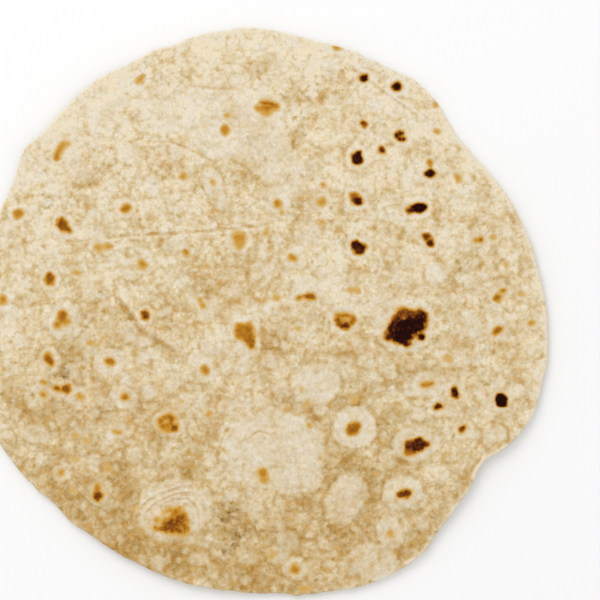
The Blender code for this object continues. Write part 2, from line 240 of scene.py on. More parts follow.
# Broad tan (+) and pale (-) areas: x, y, half length, half width, turn, amount
TONES = (
    (-33.0, 67.0, 8.0, 6.0, 10, -0.14), (-54.0, 71.0, 9.0, 6.0, 35, -0.22), (-84.0, 21.5, 6.0, 8.0, 0, -0.22), (23.0, 18.0, 6.0, 5.0, 0, -0.12), (80.0, -12.0, 14.0, 22.0, 0, -0.075),
    (-54.0, -45.0, 24.0, 18.0, 0, 0.105), (-32.0, -85.0, 9.0, 4.0, -20, 0.06),
    (0.0, -80.0, 30.0, 12.0, 0, 0.07), (50.0, -71.0, 3.6, 2.2, 0, 0.08), (-59.0, -69.6, 4.0, 2.6, -30, 0.22),
    (23.0, 81.0, 6.0, 4.5, 0, 0.09), (12.7, -6.7, 5.5, 4.5, 0, -0.24), (-26.0, 49.0, 8.0, 3.5, 0, 0.08),
    (47.0, -13.0, 3.0, 3.0, 0, 0.08), (-8.0, -90.0, 16.0, 4.5, -4, -0.06), (52.5, -53.6, 5.0, 2.2, 8, 0.21),
    (5.3, -7.4, 1.9, 1.5, 0, 0.45), (-56.3, -38.7, 1.7, 1.5, 0, 0.45), (20.8, 75.7, 1.8, 1.7, 0, 0.35),
    (11.3, 59.8, 1.8, 1.6, 0, 0.30), (66.5, 68.6, 1.9, 1.6, 0, 0.38), (69.3, 61.2, 1.8, 1.6, 0, 0.38),
    (36.6, -71.8, 2.1, 1.9, 0, 0.45), (28.9, -77.4, 2.0, 1.7, 0, 0.45), (-32.7, -88.4, 2.3, 1.8, 0, 0.40),
    (48.9, -85.9, 1.9, 1.6, 0, 0.35), (20.8, 96.4, 2.2, 1.4, 0, 0.30), (53.2, -82.0, 2.4, 1.8, 0, 0.32),
    (13.0, 60.0, 3.6, 5.6, 0, 0.37), (15.5, 76.5, 8.0, 4.6, 10, 0.34), (-8.0, 48.0, 13.5, 5.0, -15, 0.40),
    (-33.0, 50.0, 9.0, 3.4, 12, 0.23), (-58.0, 48.5, 8.5, 4.6, 5, 0.23), (66.0, 10.0, 4.0, 2.6, 0, 0.25),
    (17.0, -36.0, 3.4, 5.0, -20, 0.34), (33.0, -30.0, 4.4, 4.2, 0, 0.31), (25.0, -32.5, 4.0, 3.0, 0, 0.22),
    (64.0, -31.0, 3.6, 2.6, 0, 0.28), (-48.0, -66.0, 3.4, 6.0, -10, 0.37), (-52.0, -56.0, 5.0, 4.6, 30, 0.25),
    (81.0, 14.0, 3.4, 2.6, 60, 0.25), (49.0, -37.0, 4.0, 2.6, 0, 0.28), (31.0, -15.0, 5.0, 3.2, 10, 0.28),
    (-6.0, 87.0, 6.0, 4.0, 0, 0.28), (27.0, -53.0, 5.4, 4.6, 0, 0.34), (36.0, -59.0, 6.0, 5.0, 40, 0.22),
    (37.0, -69.0, 4.0, 6.5, -35, 0.34), (3.0, -11.0, 4.4, 5.2, 0, 0.25), (42.0, -43.0, 2.6, 4.6, 10, 0.28),
    (-61.0, 6.0, 4.6, 3.6, 0, 0.26), (62.0, 35.0, 3.8, 2.6, 0, 0.23), (-48.0, 70.0, 3.6, 3.4, 0, 0.22),
    (-5.0, 18.0, 3.4, 2.8, 0, 0.23), (35.0, 14.0, 3.6, 2.8, 0, 0.22), (7.0, -29.0, 3.6, 2.8, 0, 0.23),
    (59.0, -39.0, 3.2, 2.8, 0, 0.22), (-14.0, -92.0, 14.0, 4.6, -6, 0.24), (-54.0, -77.0, 20.0, 6.5, -40, 0.37),
    (-26.0, -86.0, 10.0, 6.0, -15, 0.28), (56.0, -74.0, 6.0, 4.4, 40, 0.20), (-36.0, 81.0, 4.0, 2.8, 0, 0.20),
    (-40.0, 23.0, 4.4, 2.6, 0, 0.22), (17.0, 14.0, 3.2, 2.6, 0, 0.20), (-64.0, 22.0, 4.4, 3.4, 0, 0.23),
    (82.0, -13.0, 4.6, 4.4, 0, 0.20), (23.0, -60.0, 2.8, 5.0, 0, 0.26), (-83.0, -37.0, 4.6, 3.4, 0, 0.23),
    (-1.0, -88.0, 5.0, 3.4, 0, 0.23), (64.0, 18.0, 3.6, 3.4, 0, 0.20), (-26.0, -56.0, 4.4, 6.0, 20, 0.31),
    (57.0, 55.0, 3.2, 2.6, 0, 0.20), (48.0, -21.0, 3.8, 2.6, 0, 0.20), (-7.0, 9.0, 4.6, 3.6, 0, 0.17),
    (-93.0, 18.0, 3.6, 5.0, 0, 0.19), (-82.0, -4.0, 4.4, 3.4, 0, 0.19), (24.0, -79.0, 9.0, 4.4, 15, 0.34),
    (13.0, -80.0, 6.0, 4.6, 0, 0.23), (-32.0, 1.0, 4.6, 3.4, 0, 0.19), (-20.0, 6.0, 4.4, 3.4, 0, 0.19),
    (-67.0, 43.0, 3.6, 3.4, 0, 0.19), (-66.0, -20.0, 7.0, 8.5, 10, 0.25), (-66.0, -38.0, 8.0, 5.0, 0, 0.16),
    (-66.0, -64.0, 16.0, 6.0, -42, 0.28), (-40.0, -86.0, 14.0, 5.0, -22, 0.31), (0.0, -97.0, 18.0, 4.0, 2, 0.22),
    (-12.0, -76.0, 4.0, 7.0, 10, 0.22), (-47.0, -1.6, 7.8, 1.7, -56, 0.26), (-34.8, -12.0, 8.2, 2.3, -29, 0.26),
    (-50.0, 8.0, 12.0, 7.0, 0, 0.08), (-20.0, 14.0, 18.0, 9.0, 0, 0.05), (48.0, 12.0, 12.0, 8.0, 0, 0.02),
    (13.0, -66.0, 4.0, 3.6, 0, 0.19), (70.0, -10.0, 8.0, 6.0, 0, 0.08), (60.0, -14.0, 6.0, 4.0, 0, 0.11),
    (-73.0, 63.0, 17.0, 9.0, 42, -0.12), (-48.0, 82.0, 14.0, 6.0, 32, -0.10), (23.0, 92.0, 18.0, 4.6, -8, -0.10),
    (-10.0, 95.0, 18.0, 4.0, 0, -0.09), (93.0, 18.0, 6.0, 26.0, 12, 0.06), (80.0, 50.0, 6.0, 20.0, 38, -0.09),
    (94.0, -22.0, 5.0, 20.0, -8, -0.08), (-94.0, -9.0, 6.0, 20.0, 0, -0.09), (-20.0, 70.0, 20.0, 12.0, 0, -0.05),
    (52.0, 70.0, 20.0, 10.0, -38, -0.05), (72.0, -52.0, 6.0, 10.0, -40, -0.06), (-92.0, 28.0, 6.0, 14.0, -15, -0.08),
)

# Creases: width of the relief, its depth, width and darkness of the painted shade line, how pale its lip is as a
# painted highlight (negative: below or left of it), then the line's points
CREASES = (
    (0.55, 0.22, 0.46, 0.52, -0.6, (-43, 59.6), (-36, 60.2), (-31.8, 59.6), (-27.8, 58.1), (-24.3, 56.3), (-20.8, 54.6), (-18.1, 52.8)),
    (0.50, 0.22, 0.48, 0.54, -0.6, (-60, 25.2), (-56, 25.8), (-49, 26.9), (-42, 27.3), (-34.8, 27.5), (-23.6, 28.2), (-13.0, 29.2), (-2.5, 30.2), (4.9, 31.7), (13.4, 33.8)),
    (0.60, 0.16, 0.46, 0.42, -0.4, (-24.0, 79.2), (-17.0, 78.6), (-6.5, 78.6)),
    (1.05, 0.30, 0.82, 0.68, 0.7, (-53.6, 7.4), (-50.9, 3.4), (-47.9, 0.0), (-45.2, -4.4), (-43.0, -7.5), (-38.2, -9.8), (-32.4, -13.3), (-27.8, -16.6)),
    (0.60, 0.18, 0.50, 0.42, -0.4, (-59.4, -1.5), (-62.0, -5.0), (-65.0, -8.5), (-68.6, -11.5)),
    (0.45, 0.12, 0.44, 0.28, -0.2, (-24.5, 15.6), (-14.0, 15.9), (-1.5, 15.4)),
    (0.40, 0.25, 0.36, 1.10, 0.5, (-3.6, -75.2), (-2.9, -77.2), (-2.1, -79.0)),
    (0.70, 0.35, 0.50, 0.55, 0.8, (77.0, -49.2), (74.8, -52.8), (73.0, -55.6), (71.2, -58.6)),
    (0.40, 0.10, 0.40, 0.30, 0.3, (-5.4, -44.8), (-3.5, -42.9), (-1.4, -41.8), (2.1, -43.2), (5.6, -42.6), (7.7, -42.9)),
    (0.40, 0.10, 0.40, 0.26, 0.3, (1.2, -54.6), (5.6, -54.4), (9.9, -55.5)),
    (0.55, 0.12, 0.42, 0.17, 0.6, (-10.9, -38.9), (-13.9, -42.8), (-15.7, -47.4), (-16.6, -53.0), (-15.3, -59.0)),
    (0.50, 0.12, 0.42, 0.35, 1.0, (27.6, 88.6), (34.0, 83.6), (40.3, 78.5), (46.4, 74.2), (52.0, 70.4), (57.0, 65.4)),
)

# Thin raised folds, their tops drawn paler as a painted highlight: width, height, then the line's points
RIDGES = (
    (0.55, 0.28, (28.5, 89.4), (34.5, 84.8), (40.8, 79.6), (46.8, 75.3), (52.4, 71.5), (57.7, 66.2)),
    (0.70, 0.30, (78.0, -49.5), (75.6, -54.0), (72.6, -59.0)),
)

# The large blister's collapsed skin: stepped arcs of one uneven shape, given as direction and radius; then each arc's
# share of it, and the way it faces, its half spread (degrees) and its strength, once or twice. The strength sets the
# arcs' relief and also their painted highlights and shade, so they show most on the sides they face.
RING_CENTRE = (-32.0, -73.0)
RING_SHAPE = (
    (-135, 11.0), (-90, 11.5), (-45, 12.0), (0, 13.0), (30, 13.4), (43, 13.0), (56, 12.0),
    (69, 10.7), (86, 9.6), (106, 9.0), (133, 9.3), (154, 10.2), (180, 10.9),
)
RINGS = (
    (0.62, (20, 72, 0.8)), (0.79, (82, 105, 0.9), (-25, 60, 0.5)),
    (1.00, (108, 100, 1.0)), (1.25, (128, 84, 0.8), (-125, 50, 0.4)),
)

# The edge's pale lip, a little paler all round and more so as a painted highlight on the side it faces: the way it
# faces, full within and gone beyond these many degrees, and what is left elsewhere
EDGE_HIGHLIGHT = (-12, 48, 72, 0.25)

# Clusters of dark flour specks: x, y, radius, strength
SOOT = (
    (-12.7, -71.2, 4.6, 1.0), (-10.0, -80.0, 4.2, 0.85), (-14.0, -84.0, 3.4, 0.65),
    (-71.5, -21.5, 4.0, 0.7), (-69.8, -28.5, 3.4, 0.7), (-75.5, -25.0, 3.4, 0.4),
    (-3.0, -77.0, 2.4, 0.4), (57.0, -18.0, 2.0, 0.5), (70.5, 14.5, 4.0, 0.25),
)


# ---------------------------------------------------------------- helpers
def smooth(lo, hi, v):
    t = np.clip((v - lo) / (hi - lo), 0.0, 1.0)
    return t * t * (3.0 - 2.0 * t)


def hashed(ix, iy, seed):
    h = (ix * 374761393 + iy * 668265263 + seed * 362437) & 0xFFFFFFFF
    h = ((h ^ (h >> 13)) * 1274126177) & 0xFFFFFFFF
    h = ((h ^ (h >> 16)) * 2246822519) & 0xFFFFFFFF
    return ((h ^ (h >> 15)) & 0xFFFFFFFF) / 4294967296.0


def value_noise(x, y, size, seed):
    """Smooth noise from -1 to 1 with cells of the given size."""
    u, v = x / size, y / size
    iu, iv = np.floor(u).astype(np.int64), np.floor(v).astype(np.int64)
    fu, fv = u - iu, v - iv
    fu = fu * fu * fu * (fu * (fu * 6 - 15) + 10)
    fv = fv * fv * fv * (fv * (fv * 6 - 15) + 10)
    a, b = hashed(iu, iv, seed), hashed(iu + 1, iv, seed)
    c, d = hashed(iu, iv + 1, seed), hashed(iu + 1, iv + 1, seed)
    return 2.0 * ((a * (1 - fu) + b * fu) * (1 - fv) + (c * (1 - fu) + d * fu) * fv) - 1.0


def fbm(x, y, size, octaves, seed, gain=0.6):
    total, weight, norm = 0.0 * x, 1.0, 0.0
    for k in range(octaves):
        turn = 0.6 + 1.1 * k
        cx, cy = math.cos(turn), math.sin(turn)
        total = total + weight * value_noise(x * cx + y * cy, y * cx - x * cy, size, seed + 17 * k)
        norm += weight
        weight *= gain
        size *= 0.5
    return total / norm


def ellipse(x, y, cx, cy, a, b, turn):
    """Share of the way from an ellipse's centre to its edge, and the signed
    distance inside its edge."""
    t = math.radians(turn)
    p = (x - cx) * math.cos(t) + (y - cy) * math.sin(t)
    q = (y - cy) * math.cos(t) - (x - cx) * math.sin(t)
    rho = np.sqrt((p / a) ** 2 + (q / b) ** 2) + 1e-9
    slope = np.sqrt((p / a ** 2) ** 2 + (q / b ** 2) ** 2) + 1e-9
    return rho, (1.0 - rho) * rho / slope


def eased(points):
    """A chain of points with its corners cut twice."""
    for _ in range(2):
        cut = [points[0]]
        for (ax, ay), (bx, by) in zip(points, points[1:]):
            cut += [(0.75 * ax + 0.25 * bx, 0.75 * ay + 0.25 * by), (0.25 * ax + 0.75 * bx, 0.25 * ay + 0.75 * by)]
        points = cut + [points[-1]]
    return points


def line_distance(x, y, points):
    """Distance to a chain of straight runs, positive on the side towards +Y and
    +X, and the share of its length."""
    pts = [np.array(p, float) for p in points]
    lengths = [float(np.linalg.norm(q - p)) for p, q in zip(pts, pts[1:])]
    total, done = sum(lengths), 0.0
    best, share, side = np.full(x.shape, 1e9), np.zeros(x.shape), np.ones(x.shape)
    way = pts[-1] - pts[0]
    turn = 1.0 if way[0] - way[1] > 0.0 else -1.0
    for (p, q), length in zip(zip(pts, pts[1:]), lengths):
        d = (q - p) / length
        t = np.clip((x - p[0]) * d[0] + (y - p[1]) * d[1], 0.0, length)
        r = np.hypot(x - p[0] - t * d[0], y - p[1] - t * d[1])
        near = r < best
        best = np.where(near, r, best)
        share = np.where(near, (done + t) / total, share)
        side = np.where(near, np.sign(d[0] * (y - p[1]) - d[1] * (x - p[0])) * turn, side)
        done += length
    return best * side, share


# ---------------------------------------------------------------- CAD's shape
def turn_from(theta, degrees):
    return (np.degrees(theta) - degrees + 180.0) % 360.0 - 180.0


def outline(theta):
    r = MEAN_RADIUS + 0.0 * theta
    for turns, amplitude, direction in OUTLINE_WAVES:
        r = r + amplitude * np.cos(turns * theta - math.radians(direction))
    for direction, clockwise, anticlockwise, reach in OUTLINE_LOCAL:
        d = turn_from(theta, direction)
        width = np.where(d < 0.0, clockwise, anticlockwise)
        r = r + reach * np.exp(-(d / width) ** 2)
    return r


def scallop(theta):
    """Fine unevenness of the rolled edge."""
    s = theta * MEAN_RADIUS
    wrap = 2.0 * math.pi * MEAN_RADIUS
    blend = smooth(0.0, 30.0, np.mod(s, wrap))
    one = 0.42 * value_noise(np.mod(s, wrap), 0.0 * s, 9.0, 5) + 0.22 * value_noise(np.mod(s, wrap), 0.0 * s, 3.7, 6)
    return one * blend * smooth(0.0, 30.0, wrap - np.mod(s, wrap))


def underside(theta, u):
    lift = RIM_LIFT + 0.0 * theta
    for direction, width, height in RIM_CURLS:
        lift = lift + height * np.exp(-(turn_from(theta, direction) / width) ** 2)
    rise = np.clip((u - FLAT_ZONE) / (1.0 - FLAT_ZONE), 0.0, 1.0)
    return lift * rise * rise * (1.4 - 0.4 * rise)


def thickness(x, y, u):
    t = CRUMB + 0.0 * x
    for wavelength, direction, phase, amplitude in DOUGH_WAVES:
        a = math.radians(direction)
        along = x * math.cos(a) + y * math.sin(a)
        t = t + amplitude * np.sin(2.0 * math.pi * along / wavelength + phase)
    for cx, cy, long_r, short_r, turn, height in BLISTERS:
        rho, _ = ellipse(x, y, cx, cy, long_r, short_r, turn)
        t = t + height * np.clip(1.0 - rho * rho, 0.0, 1.0) ** 2
    return t * (1.0 - EDGE_THINNING * smooth(EDGE_ZONE, 1.0, u))


# ---------------------------------------------------------------- crust fields
def small_blisters(seed, count, reach, avoid, tan):
    """Little blisters scattered over a skin, in the order of the PALE table."""
    rng = np.random.default_rng(seed)
    out = []
    while len(out) < count:
        r, t = reach * math.sqrt(rng.random()), 2 * math.pi * rng.random()
        size = 1.0 + 3.2 * rng.random() ** 2.4
        wide = size * (0.6 + 0.4 * rng.random())
        turn, cover, level = 180 * rng.random(), 0.36 + 0.50 * rng.random(), tan + 0.05 * rng.random()
        x, y = r * math.cos(t), r * math.sin(t)
        if all((x - ax) ** 2 + (y - ay) ** 2 > (0.85 * (size + ar)) ** 2 for ax, ay, ar in avoid):
            out.append((x, y, size, wide, turn, cover, level - 0.0012 * y, 0.45 + 0.12 * size))
            avoid = avoid + [(x, y, 0.7 * size)]
    return out


def flecks():
    """Faint golden flecks scattered between the browned spots."""
    rng = np.random.default_rng(77)
    out = []
    while len(out) < 34:
        r, t = 95.0 * math.sqrt(rng.random()), 2 * math.pi * rng.random()
        x, y = r * math.cos(t), r * math.sin(t)
        size = 0.7 + 0.9 * rng.random() ** 1.5
        crowd = min(math.hypot(x - p[0], y - p[1]) - p[2] for p in SPOTS)
        if crowd > 3.0 and rng.random() < 0.75 - 0.0035 * y:
            out.append((x, y, size * (1.0 + 0.8 * rng.random()), size, 180 * rng.random(),
                        0.18 + 0.20 * rng.random() ** 1.6, 0.6))
    return out


def crust(x, y, spots, tops, small, tones, creases, ridges, soot, slope, seed):
    """Colour fields, with painted shade and highlights, and fine relief (mm) of one skin at points in mm."""
    wx, wy = fbm(x, y, 8.0, 3, seed + 1), fbm(x, y, 8.0, 3, seed + 2)
    wx, wy = wx + 0.9 * fbm(x, y, 22.0, 2, seed + 11), wy + 0.9 * fbm(x, y, 22.0, 2, seed + 12)
    px, py = 0.45 * value_noise(x, y, 2.3, seed + 13), 0.45 * value_noise(x, y, 2.3, seed + 14)

    spot = np.full(x.shape, -4.0)
    weight, extent, halo = np.zeros(x.shape), np.zeros(x.shape), np.zeros(x.shape)
    burn, mottled = np.zeros(x.shape), np.zeros(x.shape)
    for cx, cy, a, b, turn, dark, extra in spots:
        _, d = ellipse(x + px, y + py, cx, cy, a, b, turn)
        d = d - (0.08 if max(a, b) < 2.2 and dark < 0.62 and not extra else 0.0)
        w = np.exp(np.clip(d, -9.0, 2.0) / 0.45)
        extent += w
        w = w * (0.05 + dark ** 3)
        weight += w
        burn += w * dark
        mottled += w * extra
        spot = np.maximum(spot, d)
        reach = 0.9 + 0.42 * min(a, b) + 0.5 * wx
        halo = np.maximum(halo, smooth(-reach - 0.5, -0.45 * reach, d) * smooth(0.22, 0.42, dark))
    burn, mottled = burn / weight, mottled / weight
    joined = 0.45 * np.log(extent)
    spot = np.clip(np.where(joined > spot, 0.6 * joined + 0.4 * spot, spot) - SPOT_TRIM, -4.0, 4.0)

    tone = 0.11 * fbm(x, y, 24.0, 2, seed + 3) + 0.09 * fbm(x, y, 8.0, 2, seed + 9) - slope * y
    for cx, cy, a, b, turn, amount in tones:
        rho, _ = ellipse(x + 1.6 * wx, y + 1.6 * wy, cx, cy, a, b, turn)
        tone += amount * np.exp(-1.1 * rho ** 2)
    tone = np.where(tone > 0.34, 0.34 + 0.24 * (1.0 - np.exp(-(np.maximum(tone, 0.34) - 0.34) / 0.24)), tone)

    pale, ring, dome = np.zeros(x.shape), np.zeros(x.shape), np.zeros(x.shape)
    level = np.full(x.shape, 0.20)
    for index, (cx, cy, a, b, turn, cover, tan, edge) in enumerate(list(tops) + list(small)):
        size = min(a, b)
        bend = 0.30 + 0.11 * size
        rho, d = ellipse(x + bend * wx, y + bend * wy, cx, cy, a, b, turn)
        here = cover * smooth(-edge, 0.8 * edge, d)
        level = np.where(here > pale, tan, level)
        pale = np.maximum(pale, here)
        # a tan ring just outside each blister's pale top: painted shade at its foot
        ring = np.maximum(ring, cover * np.exp(-((d + 0.7 + 0.5 * edge) / 0.55) ** 2) * smooth(3.0, 0.8, edge))
        if index >= len(tops):
            dome += 0.050 * min(size, 3.5) * cover * np.clip(1.0 - rho * rho, 0.0, 1.0)
        else:
            dome += 0.09 * cover * smooth(-0.8, 0.8, d)
    halo = HALO_COVER * halo
    level = np.where(halo > pale, HALO_TAN - slope * y, level)
    pale = np.maximum(pale, halo)
    ring = ring * (1.0 - 0.85 * pale)

    crease_shade, highlighted_fold = np.zeros(x.shape), np.zeros(x.shape)
    across, shaded_line, highlighted_lip = np.full(x.shape, 9.0), np.zeros(x.shape), np.zeros(x.shape)
    relief = 0.075 * fbm(x, y, 7.0, 2, seed + 4) + 0.060 * fbm(x, y, 2.6, 2, seed + 5)
    relief *= 1.0 - 0.50 * pale
    relief += dome
    for width, depth, thin, dark, lip_highlight, *points in creases:
        d, share = line_distance(x, y, eased(points))
        fade = smooth(0.0, 0.10, share) * smooth(0.0, 0.30, 1.0 - share)
        groove = np.exp(-(d / width) ** 2) * fade
        # painted shade: the crease's groove drawn darker
        crease_shade = np.maximum(crease_shade, 0.20 * dark * groove)
        relief -= depth * groove
        relief += 0.35 * depth * fade * np.exp(-((np.abs(d) - 2.4 * width) / (1.1 * width)) ** 2)
        # the thin line itself: the distance across it in line widths, towards its lip, and how dark the painted shade
        # line and how pale the painted highlight on the lip are
        off = d / thin * (1.0 if lip_highlight > 0.0 else -1.0)
        near = np.abs(off) < np.abs(across)
        reach = fade * smooth(8.5, 6.0, np.abs(off))
        across = np.where(near, np.clip(off, -9.0, 9.0), across)
        shaded_line = np.where(near, dark * reach, shaded_line)
        highlighted_lip = np.where(near, abs(lip_highlight) * reach, highlighted_lip)
    for width, height, *points in ridges:
        d, share = line_distance(x, y, points)
        fade = smooth(0.0, 0.1, share) * smooth(0.0, 0.1, 1.0 - share) * 0.9 + 0.1
        # painted highlight: the fold's top drawn paler
        highlighted_fold = np.maximum(highlighted_fold, 0.6 * fade * np.exp(-(d / width) ** 2))
        relief += height * fade * np.exp(-(d / width) ** 2)

    specks = np.zeros(x.shape)
    for cx, cy, r, strength in soot:
        d = np.hypot(x + wx - cx, y + wy - cy)
        specks = np.maximum(specks, strength * smooth(1.5, 0.2, d / r))

    return {"spot": spot, "burn": burn, "mottled": mottled, "pale": pale, "level": level,
            "ring": ring, "tone": tone, "crease_shade": crease_shade, "highlighted_fold": highlighted_fold, "soot": specks,
            "across": across, "shaded_line": shaded_line, "highlighted_lip": highlighted_lip}, relief


def blister_rings(x, y):
    """The large blister's stepped arcs: which arc a point is at, as a running
    number, how strong the arcs are there, and their relief in mm."""
    cx, cy = RING_CENTRE
    r = np.hypot(x - cx, y - cy) + 0.60 * fbm(x, y, 8.0, 2, 71)
    angle = np.degrees(np.arctan2(y - cy, x - cx))
    r = r / np.interp(angle, *zip(*RING_SHAPE), period=360.0)
    shares = [ring[0] for ring in RINGS]
    phase = np.interp(r, [shares[0] - 0.3] + shares + [shares[-1] + 0.3], [-2.0] + list(range(len(shares))) + [len(shares) + 1.0])
    strength = np.zeros(x.shape)
    for index, (_, *parts) in enumerate(RINGS):
        here = np.zeros(x.shape)
        for facing, spread, amount in parts:
            off = (angle - facing + 180.0) % 360.0 - 180.0
            here = np.maximum(here, amount * smooth(spread, 0.4 * spread, np.abs(off)))
        strength += here * np.clip(1.0 - np.abs(phase - index), 0.0, 1.0)
    return phase, strength, 0.09 * strength * np.cos(2.0 * math.pi * phase)


def edge_highlight(theta):
    """How pale the very edge is, by direction: some all round, and most on the right, where the paleness is a painted
    highlight.
    """
    away = np.abs(turn_from(theta, EDGE_HIGHLIGHT[0]))
    return EDGE_HIGHLIGHT[3] + (1.0 - EDGE_HIGHLIGHT[3]) * smooth(EDGE_HIGHLIGHT[2], EDGE_HIGHLIGHT[1], away)


def under_spots():
    """The other face's browned spots: more, smaller and more even."""
    rng = np.random.default_rng(41)
    out, taken = [], []
    while len(taken) < 74:
        r, t = 92.0 * math.sqrt(rng.random()), 2 * math.pi * rng.random()
        x, y = r * math.cos(t), r * math.sin(t)
        size = 0.9 + 3.4 * rng.random() ** 2.6
        if any((x - ax) ** 2 + (y - ay) ** 2 < (3.0 + size + ar) ** 2 for ax, ay, ar in taken):
            continue
        taken.append((x, y, size))
        dark, turn = 0.40 + 0.55 * rng.random() ** 1.3, 180 * rng.random()
        out.append((x, y, size, size * (0.6 + 0.4 * rng.random()), turn, dark, 0))
        if size > 1.8:
            for _ in range(2):
                a = 2 * math.pi * rng.random()
                out.append((x + 0.7 * size * math.cos(a), y + 0.7 * size * math.sin(a),
                            0.6 * size, 0.4 * size, 180 * rng.random(), min(1.0, dark + 0.1), 0))
    return out, taken


def under_pale(taken):
    rng = np.random.default_rng(43)
    out = [(x, y, 1.5 * s + 1.6, 1.3 * s + 1.4, 180 * rng.random(), 0.75, 0.29, 0.6) for x, y, s in taken]
    for _ in range(16):
        r, t = 84.0 * math.sqrt(rng.random()), 2 * math.pi * rng.random()
        out.append((r * math.cos(t), r * math.sin(t), 5 + 7 * rng.random(), 4 + 5 * rng.random(),
                    180 * rng.random(), 0.45 + 0.3 * rng.random(), 0.29, 1.4))
    return out


UNDER_TONES = (
    (40, 55, 40, 22, 130, 0.14), (-55, 30, 30, 24, 20, 0.10), (10, -60, 44, 20, 10, 0.13),
    (-30, 70, 34, 14, 30, -0.10), (70, -30, 18, 34, 0, -0.10), (-70, -40, 22, 20, 0, -0.08),
    (-5, 5, 20, 16, 40, 0.10), (25, -15, 9, 7, 0, 0.12), (-30, -35, 12, 7, 60, 0.14),
)


# ---------------------------------------------------------------- the mesh
def disc_grid(cells):
    line = np.linspace(-1.0, 1.0, cells + 1)
    a, b = np.meshgrid(line, line, indexing="ij")
    wide = np.abs(a) >= np.abs(b)
    r = np.where(wide, a, b)
    safe = np.where(r == 0.0, 1.0, r)
    phi = np.where(wide, math.pi / 4 * b / safe, math.pi / 2 - math.pi / 4 * a / safe)
    return np.abs(r), np.arctan2(r * np.sin(phi), r * np.cos(phi))


def border(n):
    return ([(n, j) for j in range(n)] + [(n - i, n) for i in range(n)]
            + [(0, n - j) for j in range(n)] + [(i, 0) for i in range(n)])


def skin_faces(cells, base, up):
    n = cells + 1
    i, j = np.meshgrid(np.arange(cells), np.arange(cells), indexing="ij")
    i, j = i.ravel(), j.ravel()
    a, b = base + i * n + j, base + (i + 1) * n + j
    c, d = base + (i + 1) * n + j + 1, base + i * n + j + 1
    same = (i < cells // 2) == (j < cells // 2)
    first = np.where(same[:, None], np.stack((a, b, c), 1), np.stack((a, b, d), 1))
    second = np.where(same[:, None], np.stack((a, c, d), 1), np.stack((b, c, d), 1))
    faces = np.concatenate((first, second))
    return faces if up else faces[:, ::-1]


